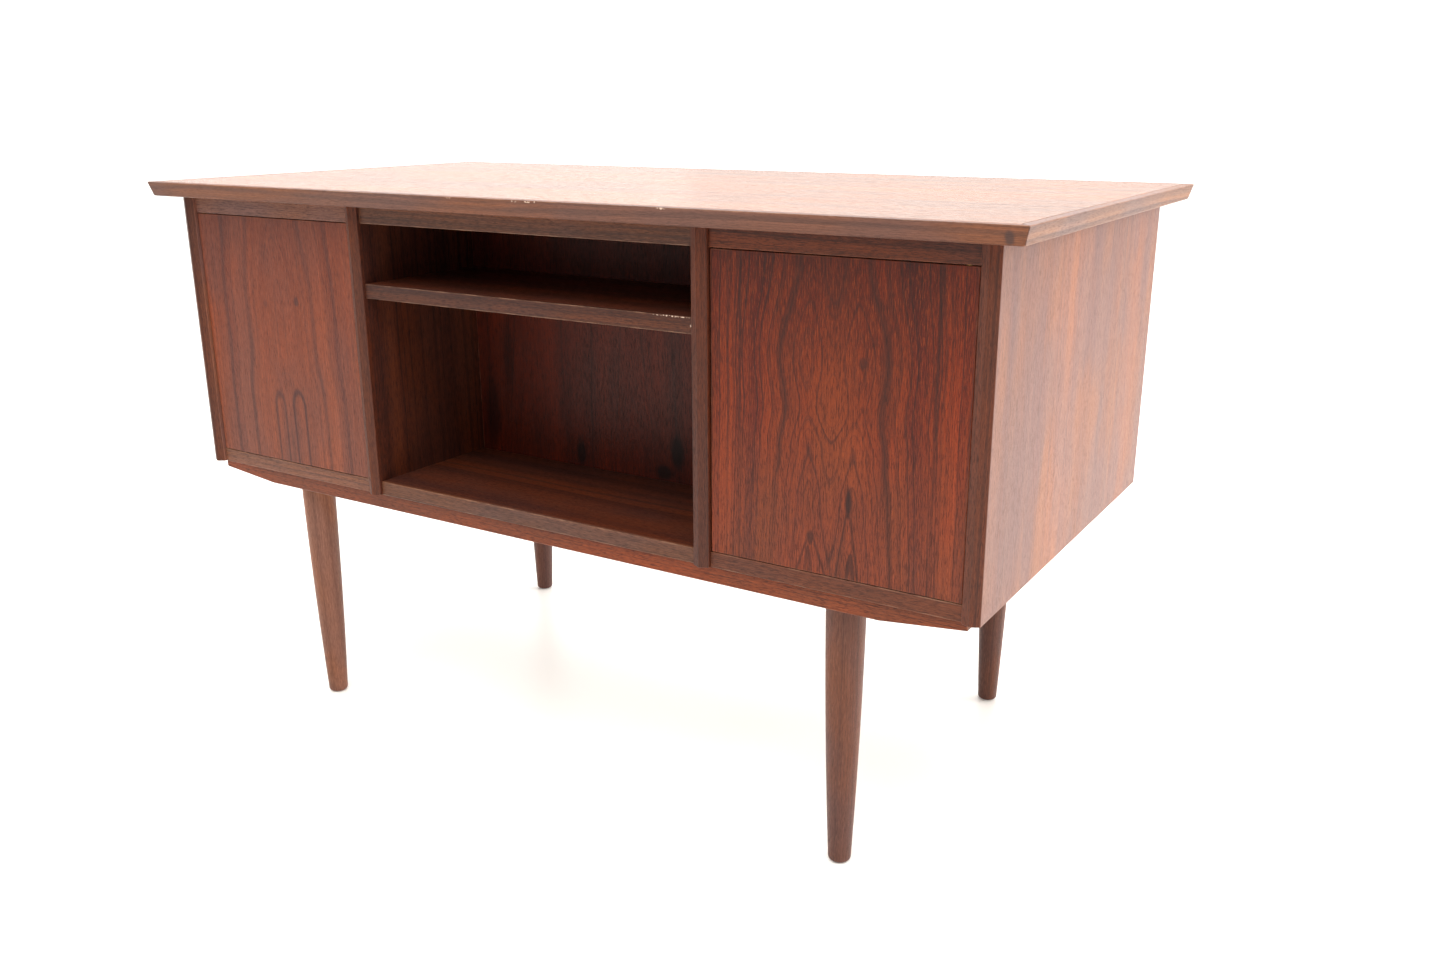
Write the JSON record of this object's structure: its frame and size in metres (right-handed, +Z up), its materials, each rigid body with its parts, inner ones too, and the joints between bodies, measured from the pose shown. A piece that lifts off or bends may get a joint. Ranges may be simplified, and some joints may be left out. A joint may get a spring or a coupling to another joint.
{
  "type": "desk with bookcase and doors",
  "caption": "Free-standing wooden desk on turned legs: an open bookcase between two doors on one side, a knee-hole between drawer stacks on the other.",
  "frame": {"origin": "on the floor, under the middle of the top board", "axes": "+X along the width, to the right as seen from the bookcase side; -Y towards the bookcase and doors, +Y towards the drawers and knee-hole; +Z up"},
  "size_m": [1.206, 0.62, 0.72],
  "materials": {
    "teak_veneer": "oiled teak veneer with solid teak edges",
    "teak_solid": "oiled solid teak",
    "inner_teak": "oiled teak veneer, shaded and darker",
    "beech": "waxed beech",
    "plywood": "sealed birch plywood",
    "brass": "dull brass",
    "steel": "zinc-plated steel",
    "latch_plastic": "dark brown moulded housing"
  },
  "bodies": {
    "case": {"top_panel": "teak_veneer", "top_front_lipping": "teak_solid", "top_back_lipping": "teak_solid", "top_left_lipping": "teak_solid", "top_right_lipping": "teak_solid", "left_end_panel": "teak_veneer", "right_end_panel": "teak_veneer", "left_divider": "teak_veneer", "right_divider": "teak_veneer", "left_floor": "inner_teak", "bookcase_floor": "inner_teak", "right_floor": "inner_teak", "left_top_rail": "teak_solid", "bookcase_top_rail": "teak_solid", "right_top_rail": "teak_solid", "bookcase_back": "inner_teak", "left_partition": "inner_teak", "right_partition": "inner_teak", "shelf": "inner_teak", "shelf_pins": "brass", "front_base_rail": "teak_solid", "back_left_base_rail": "teak_solid", "back_right_base_rail": "teak_solid", "front_left_leg": "teak_solid", "front_right_leg": "teak_solid", "back_left_leg": "teak_solid", "back_right_leg": "teak_solid", "leg_studs": "steel", "leg_inserts": "brass", "wood_screws": "steel", "dowels": "beech", "drawer_runners": "beech", "case_pivots": "brass", "latch_bodies": "latch_plastic"},
    "left_door": {"left_door": "teak_veneer", "left_door_pivots": "brass", "left_door_strike": "steel"},
    "left_latch_plunger": {"left_latch_plunger": "steel"},
    "left_bottom_drawer": {"left_bottom_drawer_front": "teak_veneer", "left_bottom_drawer_box": "beech", "left_bottom_drawer_bottom": "plywood"},
    "left_middle_drawer": {"left_middle_drawer_front": "teak_veneer", "left_middle_drawer_box": "beech", "left_middle_drawer_bottom": "plywood"},
    "left_top_drawer": {"left_top_drawer_front": "teak_veneer", "left_top_drawer_box": "beech", "left_top_drawer_bottom": "plywood"},
    "right_door": {"right_door": "teak_veneer", "right_door_pivots": "brass", "right_door_strike": "steel"},
    "right_latch_plunger": {"right_latch_plunger": "steel"},
    "right_bottom_drawer": {"right_bottom_drawer_front": "teak_veneer", "right_bottom_drawer_box": "beech", "right_bottom_drawer_bottom": "plywood"},
    "right_middle_drawer": {"right_middle_drawer_front": "teak_veneer", "right_middle_drawer_box": "beech", "right_middle_drawer_bottom": "plywood"},
    "right_top_drawer": {"right_top_drawer_front": "teak_veneer", "right_top_drawer_box": "beech", "right_top_drawer_bottom": "plywood"}
  },
  "joints": [
    {"name": "left_door_hinge", "type": "hinge", "parent": "case", "child": "left_door", "pos_m": [-0.5375, -0.272, 0.3525], "axis": [0, 0, -1], "range_deg": [0, 110]},
    {"name": "left_latch_push", "type": "slide", "parent": "case", "child": "left_latch_plunger", "axis": [0, 1, 0], "range_m": [0, 0.003], "stiffness_N_per_m": 150},
    {"name": "left_bottom_drawer_slide", "type": "slide", "parent": "case", "child": "left_bottom_drawer", "axis": [0, 1, 0], "range_m": [0, 0.26]},
    {"name": "left_middle_drawer_slide", "type": "slide", "parent": "case", "child": "left_middle_drawer", "axis": [0, 1, 0], "range_m": [0, 0.26]},
    {"name": "left_top_drawer_slide", "type": "slide", "parent": "case", "child": "left_top_drawer", "axis": [0, 1, 0], "range_m": [0, 0.26]},
    {"name": "right_door_hinge", "type": "hinge", "parent": "case", "child": "right_door", "pos_m": [0.5375, -0.272, 0.3525], "axis": [0, 0, 1], "range_deg": [0, 110]},
    {"name": "right_latch_push", "type": "slide", "parent": "case", "child": "right_latch_plunger", "axis": [0, 1, 0], "range_m": [0, 0.003], "stiffness_N_per_m": 150},
    {"name": "right_bottom_drawer_slide", "type": "slide", "parent": "case", "child": "right_bottom_drawer", "axis": [0, 1, 0], "range_m": [0, 0.26]},
    {"name": "right_middle_drawer_slide", "type": "slide", "parent": "case", "child": "right_middle_drawer", "axis": [0, 1, 0], "range_m": [0, 0.26]},
    {"name": "right_top_drawer_slide", "type": "slide", "parent": "case", "child": "right_top_drawer", "axis": [0, 1, 0], "range_m": [0, 0.26]}
  ]
}
